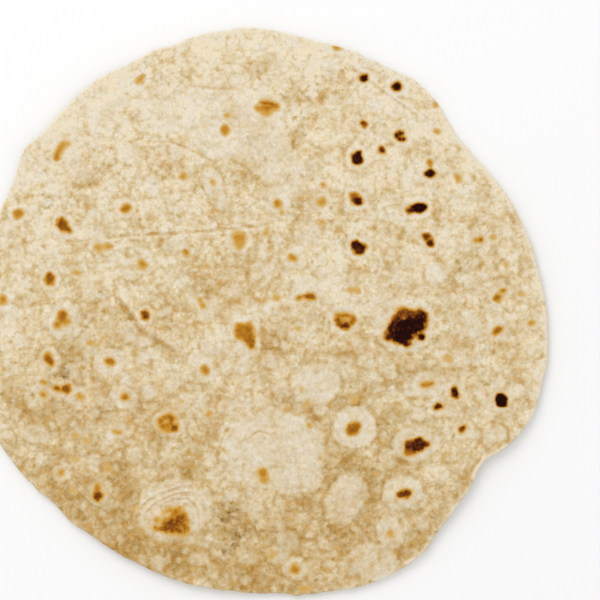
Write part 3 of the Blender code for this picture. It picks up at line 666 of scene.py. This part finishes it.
def build_bread():
    # top skin
    u, theta = disc_grid(TOP_CELLS)
    edge = outline(theta) + scallop(theta) * smooth(0.80, 1.0, u)
    r = (edge - RIM_ROUND) * u
    x, y = r * np.cos(theta), r * np.sin(theta)
    small = small_blisters(11, 420, 96.0, [(p[0], p[1], 0.9 * max(p[2], p[3])) for p in PALE], 0.18)
    top_fields, relief = crust(x, y, list(SPOTS) + flecks(), PALE, small, TONES, CREASES, RIDGES, SOOT, SLOPE, 100)
    top_fields["arc"], top_fields["arcs"], steps = blister_rings(x, y)
    relief = relief + steps
    relief = relief * (1.0 - 0.55 * smooth(0.95, 1.0, u))
    low_at = underside(theta, u)
    z = low_at + thickness(x, y, u) + relief
    top_fields["rim"] = smooth(0.975, 1.0, u)
    # paler very edge, with a painted highlight strongest on the right
    top_fields["edge"] = smooth(0.989, 1.0, u) * edge_highlight(theta)
    top = np.stack((x, y, z), -1).reshape(-1, 3)
    top_values = {k: v.ravel() for k, v in top_fields.items()}

    # underside
    u2, theta2 = disc_grid(UNDER_CELLS)
    edge2 = outline(theta2) + scallop(theta2) * smooth(0.80, 1.0, u2)
    r2 = (edge2 - RIM_ROUND) * u2
    x2, y2 = r2 * np.cos(theta2), r2 * np.sin(theta2)
    marks, taken = under_spots()
    tops = under_pale(taken)
    small2 = small_blisters(29, 200, 94.0, [(p[0], p[1], 0.9 * max(p[2], p[3])) for p in tops], 0.26)
    low_fields, low_relief = crust(x2, y2, marks, tops, small2, UNDER_TONES, (), (), (), 0.0, 300)
    low_relief = low_relief - low_relief.max()
    low_fields["rim"] = smooth(0.975, 1.0, u2)
    low_fields["edge"] = 0.0 * u2
    low_fields["arc"], low_fields["arcs"] = np.zeros(u2.shape), np.zeros(u2.shape)
    # shallow hollows only, so nothing reaches below the plane it rests on
    z2 = underside(theta2, u2) - 0.35 * low_relief * (1.0 - smooth(0.96, 1.0, u2))
    z2 = z2 - 0.0
    low = np.stack((x2, y2, z2), -1).reshape(-1, 3)
    low_values = {k: v.ravel() for k, v in low_fields.items()}

    # rim strips, from the top skin's border down to the middle and on
    n_top = len(top)
    side = TOP_CELLS + 1
    loop = np.array([i * side + j for i, j in border(TOP_CELLS)])
    count = len(loop)
    th = theta.ravel()[loop]
    reach = edge.ravel()[loop]
    z_hi, z_lo = top[loop, 2], underside(th, 1.0 + 0.0 * th)
    strips, strip_values = [], []
    for step in range(1, RIM_STRIPS + 1):
        phi = math.pi * step / (RIM_STRIPS + 1)
        rr = reach - RIM_ROUND * (1.0 - math.sin(phi))
        zz = 0.5 * (z_hi + z_lo) + 0.5 * (z_hi - z_lo) * math.cos(phi)
        strips.append(np.stack((rr * np.cos(th), rr * np.sin(th), zz), -1))
        values = {k: v[loop].copy() for k, v in top_values.items()}
        values["rim"] = np.ones(count)
        values["spot"] = values["spot"] - 0.9 * step / (RIM_STRIPS + 1)
        strip_values.append(values)

    low_base = n_top
    strip_base = n_top + len(low)
    verts = np.concatenate([top, low] + strips)
    names = list(top_values)
    fields = {k: np.concatenate([top_values[k], low_values[k]] + [s[k] for s in strip_values]) for k in names}

    faces = [skin_faces(TOP_CELLS, 0, True), skin_faces(UNDER_CELLS, low_base, False)]
    rings_idx = [loop] + [strip_base + s * count + np.arange(count) for s in range(RIM_STRIPS)]
    for upper, lower in zip(rings_idx, rings_idx[1:]):
        un, ln = np.roll(upper, -1), np.roll(lower, -1)
        faces += [np.stack((upper, lower, ln), 1), np.stack((upper, ln, un), 1)]
    # join to the coarser border of the underside, two cells to one
    side2 = UNDER_CELLS + 1
    loop2 = low_base + np.array([i * side2 + j for i, j in border(UNDER_CELLS)])
    last = rings_idx[-1]
    a, b, c = last[0::2], last[1::2], np.roll(last, -2)[0::2]
    p, q = loop2, np.roll(loop2, -1)
    faces += [np.stack((a, p, b), 1), np.stack((b, p, q), 1), np.stack((b, q, c), 1)]
    faces = np.concatenate(faces)

    # the CAD frame: the outline's box centred, the rest plane at zero
    fine = np.linspace(0.0, 2.0 * math.pi, 7200, endpoint=False)
    ox, oy = outline(fine) * np.cos(fine), outline(fine) * np.sin(fine)
    shift = np.array((-0.5 * (ox.min() + ox.max()), -0.5 * (oy.min() + oy.max()), 0.0))
    world = (verts + shift) * MM
    world[:, 2] = np.maximum(world[:, 2], 0.0)

    mesh = bpy.data.meshes.new("chapati_bread")
    mesh.vertices.add(len(world))
    mesh.vertices.foreach_set("co", world.astype(np.float32).ravel())
    mesh.loops.add(faces.size)
    mesh.loops.foreach_set("vertex_index", faces.astype(np.int32).ravel())
    mesh.polygons.add(len(faces))
    mesh.polygons.foreach_set("loop_start", np.arange(0, faces.size, 3, dtype=np.int32))
    mesh.polygons.foreach_set("loop_total", np.full(len(faces), 3, dtype=np.int32))
    mesh.update(calc_edges=True)
    mesh.validate()
    for name in names:
        layer = mesh.attributes.new(name, "FLOAT", "POINT")
        layer.data.foreach_set("value", fields[name].astype(np.float32))
    mesh.shade_smooth()

    # one sheet for the bake: the top face as a large disc, the underside as a
    # smaller one in the free corner, split along the rim's middle
    middle_ring = rings_idx[(RIM_STRIPS + 1) // 2][0]
    is_low_face = np.zeros(len(faces), bool)
    ring_no = np.full(len(verts), -1)
    ring_no[n_top:strip_base] = 99
    ring_no[:n_top] = 0
    for s in range(RIM_STRIPS):
        ring_no[rings_idx[s + 1]] = s + 1
    is_low_face = ring_no[faces].min(1) >= (RIM_STRIPS + 1) // 2
    flat_r = np.hypot(verts[:, 0], verts[:, 1])
    direction = np.arctan2(verts[:, 1], verts[:, 0])
    skin_edge = outline(direction) + scallop(direction) - RIM_ROUND
    step_up = np.where(ring_no == 99, 0.0, np.where(ring_no > 0, ring_no, 0)) * 0.45
    step_dn = np.where((ring_no > 0) & (ring_no < 99), RIM_STRIPS + 1 - ring_no, 0) * 0.45
    uv_r_top = np.where(ring_no > 0, skin_edge + step_up, flat_r)
    uv_r_low = np.where((ring_no > 0) & (ring_no < 99), skin_edge + step_dn, flat_r)
    big, little, full = 0.3575, 0.2225, 108.0
    corner = faces.ravel()
    low_corner = np.repeat(is_low_face, 3)
    radius = np.where(low_corner, uv_r_low[corner] * little, uv_r_top[corner] * big) / full
    ang = direction[corner]
    uv_u = np.where(low_corner, 1.0 - little - radius * np.cos(ang), big + radius * np.cos(ang))
    uv_v = np.where(low_corner, little + radius * np.sin(ang), 1.0 - big + radius * np.sin(ang))
    layer = mesh.uv_layers.new(name="OFBake")
    layer.data.foreach_set("uv", np.stack((uv_u, uv_v), 1).astype(np.float32).ravel())

    bread = bpy.data.objects.new("chapati_bread", mesh)
    bpy.context.scene.collection.objects.link(bread)
    return bread, shift


# ---------------------------------------------------------------- the material
STUDIO = 1.06             # light on a level surface, against plain white


def srgb(r, g, b):
    """A colour as it looks in the studio, as the surface's own colour."""
    def lin(c):
        c = c / 255.0
        return (c / 12.92 if c <= 0.04045 else ((c + 0.055) / 1.055) ** 2.4) / STUDIO
    return (lin(r), lin(g), lin(b), 1.0)


class Nodes:
    """Short names for building a node tree."""

    def __init__(self, tree):
        self.tree = tree
        self.column = 0

    def add(self, kind, **settings):
        node = self.tree.nodes.new(kind)
        node.location = (self.column * 180, 0)
        self.column += 1
        for key, value in settings.items():
            setattr(node, key, value)
        return node

    def feed(self, socket, value):
        if isinstance(value, bpy.types.NodeSocket):
            self.tree.links.new(value, socket)
        else:
            socket.default_value = value

    def math(self, op, a, b=0.0, c=0.0, clamp=False):
        node = self.add("ShaderNodeMath", operation=op, use_clamp=clamp)
        self.feed(node.inputs[0], a)
        self.feed(node.inputs[1], b)
        self.feed(node.inputs[2], c)
        return node.outputs[0]

    def attribute(self, name):
        return self.add("ShaderNodeAttribute", attribute_name=name).outputs["Fac"]

    def noise(self, vector, scale, detail=2.0, rough=0.5, distort=0.0):
        node = self.add("ShaderNodeTexNoise", noise_dimensions="3D")
        self.feed(node.inputs["Vector"], vector)
        for key, value in (("Scale", scale), ("Detail", detail), ("Roughness", rough), ("Distortion", distort)):
            node.inputs[key].default_value = value
        return node.outputs["Fac"]

    def voronoi(self, vector, scale, feature="F1", smoothness=0.5, randomness=1.0):
        node = self.add("ShaderNodeTexVoronoi", voronoi_dimensions="2D", feature=feature)
        self.feed(node.inputs["Vector"], vector)
        node.inputs["Scale"].default_value = scale
        node.inputs["Randomness"].default_value = randomness
        if feature == "SMOOTH_F1":
            node.inputs["Smoothness"].default_value = smoothness
        return node.outputs["Distance"]

    def remap(self, value, lo, hi, to_lo=0.0, to_hi=1.0, kind="SMOOTHSTEP"):
        node = self.add("ShaderNodeMapRange", interpolation_type=kind)
        self.feed(node.inputs["Value"], value)
        self.feed(node.inputs["From Min"], lo)
        self.feed(node.inputs["From Max"], hi)
        self.feed(node.inputs["To Min"], to_lo)
        self.feed(node.inputs["To Max"], to_hi)
        return node.outputs["Result"]

    def ramp(self, value, stops):
        node = self.add("ShaderNodeValToRGB")
        self.feed(node.inputs["Fac"], value)
        elements = node.color_ramp.elements
        elements[0].position, elements[0].color = stops[0]
        elements[1].position, elements[1].color = stops[-1]
        for position, colour in stops[1:-1]:
            elements.new(position).color = colour
        return node.outputs["Color"]

    def mix(self, fac, a, b, blend="MIX"):
        node = self.add("ShaderNodeMix", data_type="RGBA", blend_type=blend)
        self.feed(node.inputs["Factor"], fac)
        self.feed(node.inputs[6], a)
        self.feed(node.inputs[7], b)
        return node.outputs[2]


    def smoothed(self, value, size):
        """1 where a number is near 0, falling to 0 at about the given size."""
        return self.remap(self.math("ABSOLUTE", value), size, 0.1 * size)

def crust_material():
    mat = bpy.data.materials.new("griddled_wheat_crust")
    mat.use_nodes = True
    tree = mat.node_tree
    n = Nodes(tree)
    shader = tree.nodes["Principled BSDF"]
    coords = n.add("ShaderNodeTexCoord").outputs["Object"]
    mm = n.add("ShaderNodeVectorMath", operation="SCALE")
    n.feed(mm.inputs[0], coords)
    mm.inputs["Scale"].default_value = 1000.0
    at = mm.outputs["Vector"]

    spot, burn, mottled = n.attribute("spot"), n.attribute("burn"), n.attribute("mottled")
    pale, level, ring = n.attribute("pale"), n.attribute("level"), n.attribute("ring")
    tone, crease_shade, highlighted_fold = n.attribute("tone"), n.attribute("crease_shade"), n.attribute("highlighted_fold")
    soot, rim = n.attribute("soot"), n.attribute("rim")

    cloud = n.noise(at, 0.075, 1.5, 0.60, 0.4)
    patch = n.noise(at, 0.19, 2.0, 0.62, 0.3)
    blob = n.noise(at, 0.46, 2.0, 0.60, 0.3)
    grain = n.noise(at, 0.95, 1.0, 0.60, 0.2)
    cells = n.voronoi(at, 0.40, "SMOOTH_F1", 0.35)
    pores = n.voronoi(at, 0.85, "SMOOTH_F1", 0.35)
    hue = n.noise(at, 0.24, 4.0, 0.85)

    # creases and the large blister's stepped arcs, drawn with painted shade in their lines and hollows and painted
    # highlights on their lips and steps
    wobble = n.math("MULTIPLY", n.math("SUBTRACT", blob, 0.5), 3.0)
    across = n.math("ADD", n.attribute("across"), wobble)
    faint = n.remap(hue, 0.34, 0.60, 0.60, 1.0)
    shaded_lines = n.math("MULTIPLY", n.math("MULTIPLY", n.smoothed(across, 1.8), n.attribute("shaded_line")), faint)
    highlighted_lips = n.math("MULTIPLY", n.smoothed(n.math("SUBTRACT", across, 2.5), 1.9), n.attribute("highlighted_lip"))
    arc = n.math("MULTIPLY_ADD", n.math("SUBTRACT", blob, 0.5), 0.7, n.attribute("arc"))
    step = n.math("SUBTRACT", arc, n.math("ROUND", arc))
    arcs = n.math("MULTIPLY", n.attribute("arcs"), n.remap(patch, 0.36, 0.56, 0.4, 1.0))
    steps = n.math("MULTIPLY", n.smoothed(step, 0.30), arcs)
    shaded_hollows = n.math("MULTIPLY", n.smoothed(n.math("ADD", step, 0.45), 0.34), arcs)

    # little bubbles with a thin tan outline of painted shade round their foot, irregular and only here and there
    warp = n.add("ShaderNodeCombineXYZ")
    n.feed(warp.inputs[0], n.math("MULTIPLY", blob, 3.4))
    n.feed(warp.inputs[1], n.math("MULTIPLY", hue, 3.4))
    push = n.add("ShaderNodeVectorMath", operation="ADD")
    n.feed(push.inputs[0], warp.outputs["Vector"])
    n.feed(push.inputs[1], at)
    bubbles, shaded_outlines = 0.0, 0.0
    for scale, least, most, share in ((0.15, 0.9, 2.6, 0.50), (0.29, 0.45, 1.35, 0.62)):
        node = n.add("ShaderNodeTexVoronoi", voronoi_dimensions="2D", feature="F1")
        n.feed(node.inputs["Vector"], push.outputs["Vector"])
        node.inputs["Scale"].default_value = scale
        cell = n.add("ShaderNodeSeparateColor")
        n.feed(cell.inputs[0], node.outputs["Color"])
        reach = n.remap(cell.outputs["Green"], 0.0, 1.0, least, most, "LINEAR")
        inside = n.math("SUBTRACT", reach, n.math("DIVIDE", node.outputs["Distance"], scale))
        there = n.math("MULTIPLY", n.remap(cell.outputs["Red"], share, share - 0.25),
                       n.remap(cell.outputs["Blue"], 0.0, 1.0, 0.45, 1.0))
        bubbles = n.math("MAXIMUM", n.math("MULTIPLY", n.remap(inside, -0.10, 0.35), there), bubbles)
        shaded_outline_here = n.smoothed(n.math("ADD", inside, 0.30), 0.42)
        shaded_outlines = n.math("MAXIMUM", n.math("MULTIPLY", shaded_outline_here, there), shaded_outlines)
    shaded_outlines = n.math("MULTIPLY", shaded_outlines, n.math("SUBTRACT", 1.0, bubbles))

    # how tan the skin is: 0 palest cream, 1 deep tan; it also takes painted shade and highlights from creases, folds,
    # arcs, blister feet and the edge
    quiet = n.math("MULTIPLY_ADD", pale, -0.54, 1.0)
    sway = n.math("MULTIPLY", n.math("SUBTRACT", cloud, 0.5), 0.60)
    sway = n.math("MULTIPLY_ADD", n.math("SUBTRACT", patch, 0.5), 1.20, sway)
    sway = n.math("MULTIPLY_ADD", n.math("SUBTRACT", blob, 0.5), 0.92, sway)
    sway = n.math("MULTIPLY_ADD", n.math("SUBTRACT", cells, 0.37), 0.38, sway)
    sway = n.math("MULTIPLY_ADD", n.math("SUBTRACT", pores, 0.37), 0.13, sway)
    # painted shade: tan blotches standing for shaded pits
    shaded_pits = n.remap(n.noise(at, 0.42, 1.2, 0.55, 0.3), 0.54, 0.76)
    sway = n.math("MULTIPLY_ADD", shaded_pits, 0.28, sway)
    specks = n.remap(n.noise(at, 1.05, 1.0, 0.6, 0.2), 0.62, 0.74)
    sway = n.math("MULTIPLY_ADD", specks, 0.08, sway)
    # painted shade: the bubbles' tan outlines
    sway = n.math("MULTIPLY_ADD", shaded_outlines, 0.16, sway)
    sway = n.math("MULTIPLY_ADD", bubbles, -0.11, sway)
    sway = n.math("MULTIPLY", sway, quiet)
    ground = n.math("ADD", tone, 0.270)
    ground = n.math("MULTIPLY_ADD", n.math("SUBTRACT", level, ground), pale, ground)
    tan = n.math("ADD", ground, sway)
    # painted shade: a tan ring round each blister's foot
    tan = n.math("MULTIPLY_ADD", ring, 0.20, tan)
    # painted shade darkening the creases' grooves
    tan = n.math("MULTIPLY_ADD", crease_shade, 0.70, tan)
    # painted highlight drawn paler along the folds
    tan = n.math("MULTIPLY_ADD", highlighted_fold, -0.22, tan)
    # painted shade in the thin crease lines, painted highlight on their lips
    tan = n.math("MULTIPLY_ADD", shaded_lines, 0.55, tan)
    tan = n.math("MULTIPLY_ADD", highlighted_lips, -0.15, tan)
    # painted highlight on the arcs' steps and painted shade in the hollows behind them
    tan = n.math("MULTIPLY_ADD", steps, -0.20, tan)
    tan = n.math("MULTIPLY_ADD", shaded_hollows, 0.27, tan)
    # paler very edge: some all round, the rest a painted highlight strongest on the right
    tan = n.math("MULTIPLY_ADD", n.attribute("edge"), -0.30, tan)
    base = n.ramp(n.math("MULTIPLY", tan, 0.8), [
        (0.000, srgb(239, 225, 197)), (0.136, srgb(232, 215, 181)), (0.312, srgb(222, 199, 156)),
        (0.496, srgb(210, 183, 135)), (0.656, srgb(199, 166, 111)), (0.800, srgb(189, 151, 88)),
        (1.000, srgb(176, 134, 70)),
    ])
    # blister tops are a pinker, greyer cream
    base = n.mix(n.math("MULTIPLY", pale, 0.9), base, (0.978, 1.008, 1.115, 1.0), "MULTIPLY")
    # golden flecks where the skin is tan
    gold = n.remap(n.noise(at, 0.38, 2.0, 0.60, 0.4), 0.54, 0.66)
    gold = n.math("MULTIPLY", gold, n.remap(tan, 0.30, 0.62))
    base = n.mix(n.math("MULTIPLY", gold, 0.66), base, srgb(212, 167, 97))
    # small shifts between pinkish cream and yellow
    tint = n.mix(n.remap(hue, 0.2, 0.8, 0.0, 1.0, "LINEAR"),
                 (0.930, 1.010, 1.140, 1.0), (1.070, 0.990, 0.860, 1.0))
    base = n.mix(1.0, base, tint, "MULTIPLY")
    # painted light and shade of the fine relief: a neutral speckle, brighter on raised grain and darker in the low
    # borders between pores
    value = n.math("MULTIPLY_ADD", n.math("SUBTRACT", grain, 0.5), 0.145, 1.0)
    value = n.math("MULTIPLY_ADD", n.math("SUBTRACT", pores, 0.37), -0.09, value)
    painted_relief_shade = n.add("ShaderNodeCombineColor")
    for key in ("Red", "Green", "Blue"):
        n.feed(painted_relief_shade.inputs[key], value)
    base = n.mix(1.0, base, painted_relief_shade.outputs["Color"], "MULTIPLY")

    # browned spots, from a gold fringe to a char core
    ragged = n.math("SUBTRACT", n.noise(at, 0.50, 1.5, 0.6), 0.5)
    ragged = n.math("MULTIPLY", ragged, n.math("MULTIPLY_ADD", mottled, 2.4, 1.2))
    d = n.math("ADD", ragged, spot)
    fringe = n.remap(n.math("MULTIPLY_ADD", ragged, -0.5, d), -1.25, 0.20)
    fringe = n.math("MULTIPLY", fringe, n.remap(burn, 0.16, 0.36))
    base = n.mix(n.math("MULTIPLY", fringe, 0.88), base, srgb(217, 180, 113))
    lowest = n.math("MULTIPLY_ADD", burn, 0.28, n.math("MULTIPLY_ADD", mottled, -0.5, -0.90))
    highest = n.math("MULTIPLY_ADD", burn, -0.30, n.math("MULTIPLY_ADD", mottled, 1.2, 1.30))
    heat = n.remap(d, lowest, highest)
    uneven = n.math("SUBTRACT", n.noise(at, 0.85, 2.0, 0.7), 0.5)
    swing = n.math("MULTIPLY_ADD", mottled, 0.6, 0.60)
    uneven = n.math("MULTIPLY_ADD", uneven, swing, 1.0)
    heat = n.math("MULTIPLY", n.math("MULTIPLY", heat, burn), uneven, clamp=True)
    brown = n.ramp(heat, [
        (0.00, srgb(219, 186, 124)), (0.05, srgb(218, 182, 116)), (0.12, srgb(216, 177, 104)),
        (0.20, srgb(214, 170, 90)), (0.30, srgb(207, 153, 62)), (0.40, srgb(196, 135, 40)),
        (0.50, srgb(179, 116, 29)), (0.60, srgb(152, 92, 21)), (0.70, srgb(122, 66, 17)),
        (0.80, srgb(88, 40, 11)), (0.90, srgb(56, 18, 7)), (1.00, srgb(32, 7, 3)),
    ])
    cover = n.remap(heat, 0.0, n.math("MULTIPLY_ADD", burn, 0.30, 0.06))
    colour = n.mix(cover, base, brown)

    # sooty flour blotches and bran
    bare = n.math("SUBTRACT", 1.0, cover)
    smudge = n.math("MULTIPLY", n.remap(n.noise(at, 0.30, 2.0, 0.60, 0.4), 0.47, 0.62), soot)
    colour = n.mix(n.math("MULTIPLY", n.math("MULTIPLY", smudge, bare), 0.80), colour, srgb(168, 132, 74))
    smudge = n.math("MULTIPLY", n.remap(n.noise(at, 0.46, 1.5, 0.6, 0.3), 0.53, 0.66), soot)
    colour = n.mix(n.math("MULTIPLY", n.math("MULTIPLY", smudge, bare), 0.75), colour, srgb(122, 90, 42))
    bran = n.math("MULTIPLY", n.remap(n.voronoi(at, 0.34), 0.16, 0.07),
                  n.remap(n.noise(at, 0.16, 1.0, 0.5), 0.50, 0.58))
    colour = n.mix(n.math("MULTIPLY", n.math("MULTIPLY", bran, bare), 0.22), colour, srgb(178, 138, 84))
    n.feed(shader.inputs["Base Color"], colour)

    rough = n.math("MULTIPLY_ADD", grain, 0.20, 0.70)
    rough = n.math("MULTIPLY_ADD", heat, -0.12, rough)
    n.feed(shader.inputs["Roughness"], rough)
    shader.inputs["Metallic"].default_value = 0.0
    shader.inputs["Specular IOR Level"].default_value = 0.04

    height = n.math("MULTIPLY_ADD", cells, -0.55, n.math("MULTIPLY", grain, 0.40))
    height = n.math("MULTIPLY_ADD", pores, -0.35, height)
    height = n.math("MULTIPLY_ADD", blob, 0.50, height)
    height = n.math("MULTIPLY_ADD", shaded_pits, -0.20, height)
    height = n.math("MULTIPLY", height, quiet)
    height = n.math("MULTIPLY_ADD", highlighted_fold, 0.5, height)
    height = n.math("MULTIPLY_ADD", highlighted_lips, 0.45, height)
    height = n.math("MULTIPLY_ADD", shaded_lines, -0.5, height)
    height = n.math("MULTIPLY_ADD", steps, 0.35, height)
    height = n.math("MULTIPLY_ADD", shaded_hollows, -0.2, height)
    height = n.math("MULTIPLY_ADD", bubbles, 0.35, height)
    height = n.math("MULTIPLY_ADD", heat, -0.20, height)
    bump = n.add("ShaderNodeBump")
    bump.inputs["Strength"].default_value = 0.8
    bump.inputs["Distance"].default_value = 0.00030
    n.feed(bump.inputs["Height"], height)
    n.feed(shader.inputs["Normal"], bump.outputs["Normal"])
    return mat


def floor_material():
    mat = bpy.data.materials.new("pale_table")
    mat.use_nodes = True
    n = Nodes(mat.node_tree)
    shader = mat.node_tree.nodes["Principled BSDF"]
    coords = n.add("ShaderNodeTexCoord").outputs["Object"]
    cloud = n.noise(coords, 3.0, 2.0, 0.5)
    n.feed(shader.inputs["Base Color"], n.ramp(cloud, [
        (0.0, (0.93, 0.93, 0.925, 1.0)), (1.0, (0.95, 0.95, 0.95, 1.0))]))
    shader.inputs["Roughness"].default_value = 0.9
    shader.inputs["Specular IOR Level"].default_value = 0.1
    return mat


# ---------------------------------------------------------------- the scene
bread, shift = build_bread()
bread.data.materials.append(crust_material())
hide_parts("chapati")
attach(bread, "root")

floor_mesh = bpy.data.meshes.new("floor")
half = 6.0
floor_mesh.from_pydata([(-half, -half, -0.00005), (half, -half, -0.00005),
                        (half, half, -0.00005), (-half, half, -0.00005)], [], [(0, 1, 2, 3)])
floor = bpy.data.objects.new("floor", floor_mesh)
bpy.context.scene.collection.objects.link(floor)
floor_mesh.materials.append(floor_material())

scene = bpy.context.scene
scene.view_settings.view_transform = "Standard"
scene.view_settings.look = "None"

world = bpy.data.worlds.new("studio")
world.use_nodes = True
background = world.node_tree.nodes["Background"]
background.inputs["Color"].default_value = (1.0, 1.0, 1.0, 1.0)
background.inputs["Strength"].default_value = 0.84
scene.world = world


def area_light(name, place, target, size, power):
    data = bpy.data.lights.new(name, "AREA")
    data.shape = "DISK"
    data.size = size
    data.energy = power
    light = bpy.data.objects.new(name, data)
    scene.collection.objects.link(light)
    light.location = place
    line = np.array(target, float) - np.array(place, float)
    from mathutils import Vector
    light.rotation_euler = Vector(line).to_track_quat("-Z", "Y").to_euler()
    return light


area_light("key", (-0.6, 1.05, 1.15), (0.0, 0.0, 0.0), 1.1, 8.5)

# the camera looks straight down; the round sits left of the frame's middle
FRAME_WIDTH = 0.2120
LENS = 100.0
camera_data = bpy.data.cameras.new("camera")
camera_data.lens = LENS
camera_data.sensor_width = 36.0
camera_data.clip_start = 0.01
camera_data.clip_end = 50.0
camera = bpy.data.objects.new("camera", camera_data)
scene.collection.objects.link(camera)
camera.location = ((12.7 + shift[0]) * MM, (4.15 + shift[1]) * MM, FRAME_WIDTH * LENS / 36.0)
camera.rotation_euler = (0.0, 0.0, 0.0)
scene.camera = camera
